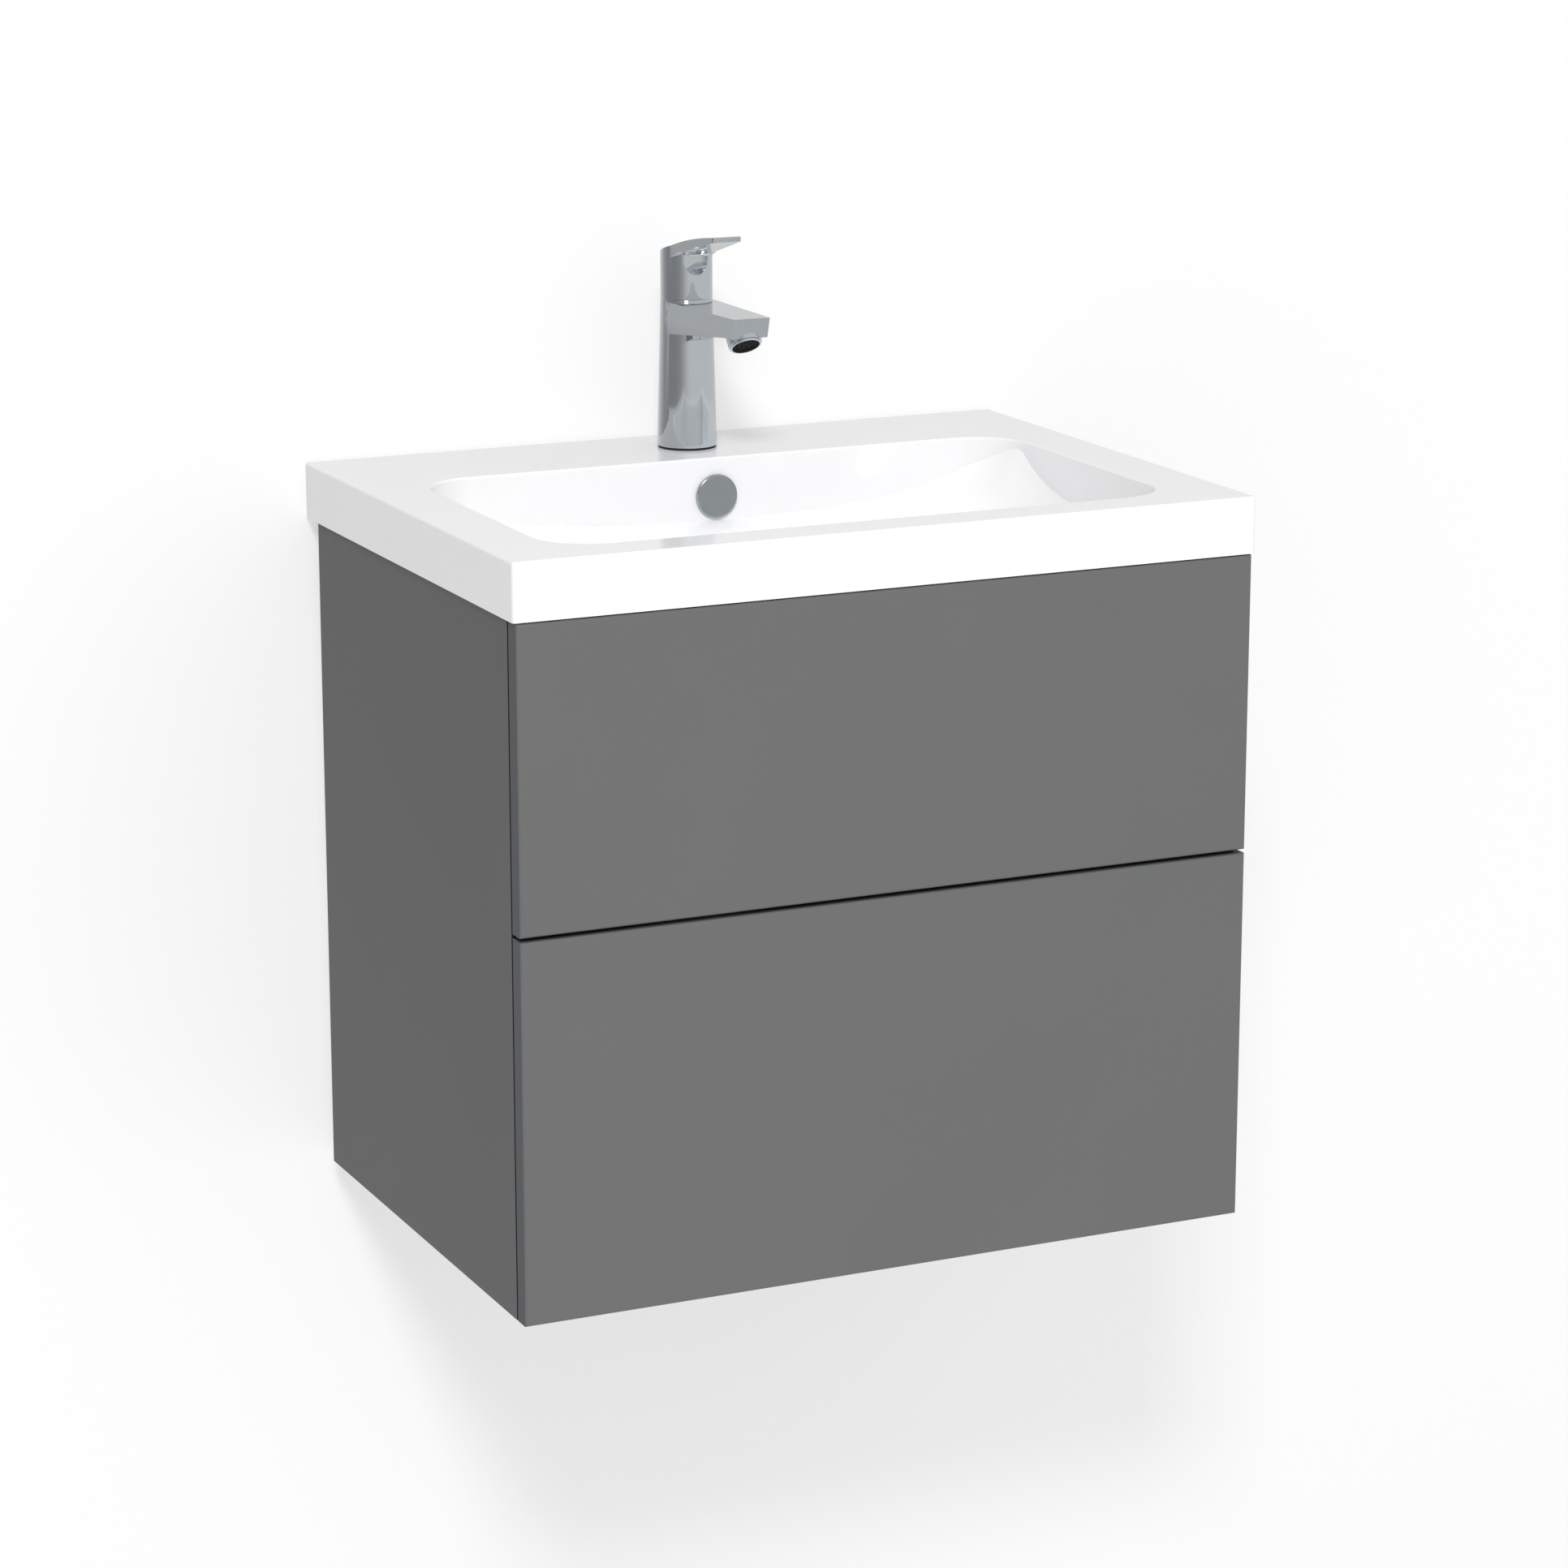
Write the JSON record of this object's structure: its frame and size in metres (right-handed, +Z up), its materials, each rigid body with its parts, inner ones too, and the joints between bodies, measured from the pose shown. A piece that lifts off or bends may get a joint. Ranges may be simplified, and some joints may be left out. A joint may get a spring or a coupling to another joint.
{
  "type": "bathroom vanity cabinet",
  "caption": "Wall-hung bathroom vanity with two full-width handleless drawers, a rectangular one-piece basin and a chrome single-lever tap.",
  "frame": {"origin": "middle of the wall rail's back face, on the wall", "axes": "+X to the right seen from the front, +Y into the wall, +Z up; the drawers open towards -Y"},
  "size_m": [0.605, 0.442, 0.749],
  "materials": {
    "front_lacquer": "grey satin lacquer on the drawer fronts",
    "carcass_laminate": "grey satin laminate on the carcass boards",
    "back_hardboard": "pale grey hardboard",
    "dowel_beech": "bare beech",
    "drawer_laminate": "light grey matt laminate",
    "zinc_steel": "bright zinc-plated steel",
    "basin_ceramic": "white gloss glaze on ceramic, opaque",
    "polished_chrome": "polished chrome plate",
    "grey_plastic": "moulded grey plastic",
    "white_plastic": "moulded white plastic",
    "black_plastic": "moulded black plastic",
    "black_rubber": "black rubber",
    "brass": "turned brass"
  },
  "bodies": {
    "cabinet": {"aerator_housing": "polished_chrome", "aerator_insert": "black_plastic", "back_board": "back_hardboard", "basin": "basin_ceramic", "bottom_board": "carcass_laminate", "bracket_screws": "zinc_steel", "cartridge_housing": "white_plastic", "cartridge_nut": "brass", "clamp_plate": "zinc_steel", "front_rail": "carcass_laminate", "hanging_brackets": "zinc_steel", "joint_dowels": "dowel_beech", "lower_latch_housing": "grey_plastic", "lower_runner_fixed": "zinc_steel", "outlet_pipe": "white_plastic", "overflow_cover": "polished_chrome", "rear_rail": "carcass_laminate", "side_left": "carcass_laminate", "side_right": "carcass_laminate", "stud_nut": "brass", "tap_body": "polished_chrome", "tap_gasket": "black_rubber", "tap_stud": "zinc_steel", "trap_body": "white_plastic", "trap_cup": "white_plastic", "trap_nut": "white_plastic", "upper_latch_housing": "grey_plastic", "upper_runner_fixed": "zinc_steel", "wall_rail": "zinc_steel", "wall_spacers": "grey_plastic", "waste_flange": "polished_chrome", "waste_nut": "white_plastic", "waste_washer": "black_rubber"},
    "upper_drawer": {"upper_front": "front_lacquer", "upper_side_left": "drawer_laminate", "upper_side_right": "drawer_laminate", "upper_bottom": "drawer_laminate", "upper_backs": "drawer_laminate", "upper_cutout_cheeks": "drawer_laminate", "upper_cutout_front": "drawer_laminate", "upper_front_angles": "zinc_steel", "upper_runner_drawer": "zinc_steel"},
    "lower_drawer": {"lower_front": "front_lacquer", "lower_side_left": "drawer_laminate", "lower_side_right": "drawer_laminate", "lower_bottom": "drawer_laminate", "lower_back": "drawer_laminate", "lower_front_angles": "zinc_steel", "lower_runner_drawer": "zinc_steel"},
    "upper_runner": {"upper_runner_middle": "zinc_steel"},
    "lower_runner": {"lower_runner_middle": "zinc_steel"},
    "upper_plunger": {"upper_latch_plunger": "grey_plastic"},
    "lower_plunger": {"lower_latch_plunger": "grey_plastic"},
    "drain_plug": {"waste_plug": "polished_chrome"},
    "mixer": {"cartridge_spindle": "white_plastic", "spindle_pin": "zinc_steel"},
    "tap_lever": {"handle": "polished_chrome", "handle_stem": "polished_chrome"}
  },
  "joints": [
    {"name": "upper_drawer_slide", "type": "slide", "parent": "cabinet", "child": "upper_drawer", "axis": [0, -1, 0], "range_m": [0, 0.35]},
    {"name": "upper_runner_slide", "type": "slide", "parent": "cabinet", "child": "upper_runner", "axis": [0, -1, 0], "range_m": [0, 0.175]},
    {"name": "lower_drawer_slide", "type": "slide", "parent": "cabinet", "child": "lower_drawer", "axis": [0, -1, 0], "range_m": [0, 0.35]},
    {"name": "lower_runner_slide", "type": "slide", "parent": "cabinet", "child": "lower_runner", "axis": [0, -1, 0], "range_m": [0, 0.175]},
    {"name": "upper_latch_press", "type": "slide", "parent": "cabinet", "child": "upper_plunger", "axis": [0, 1, 0], "range_m": [0, 0.003], "stiffness_N_per_m": 400},
    {"name": "lower_latch_press", "type": "slide", "parent": "cabinet", "child": "lower_plunger", "axis": [0, 1, 0], "range_m": [0, 0.003], "stiffness_N_per_m": 400},
    {"name": "plug_lift", "type": "slide", "parent": "cabinet", "child": "drain_plug", "axis": [0, 0, 1], "range_m": [0, 0.007]},
    {"name": "lever_turn", "type": "hinge", "parent": "cabinet", "child": "mixer", "pos_m": [0, -0.06, 0.204], "axis": [0, 0, 1], "range_deg": [-45, 45]},
    {"name": "lever_lift", "type": "hinge", "parent": "mixer", "child": "tap_lever", "pos_m": [0, -0.06, 0.204], "axis": [-1, 0, 0], "range_deg": [0, 20]}
  ],
  "couplings": [
    {"joint": "upper_runner_slide", "follows": "upper_drawer_slide", "ratio": 0.5},
    {"joint": "lower_runner_slide", "follows": "lower_drawer_slide", "ratio": 0.5}
  ]
}
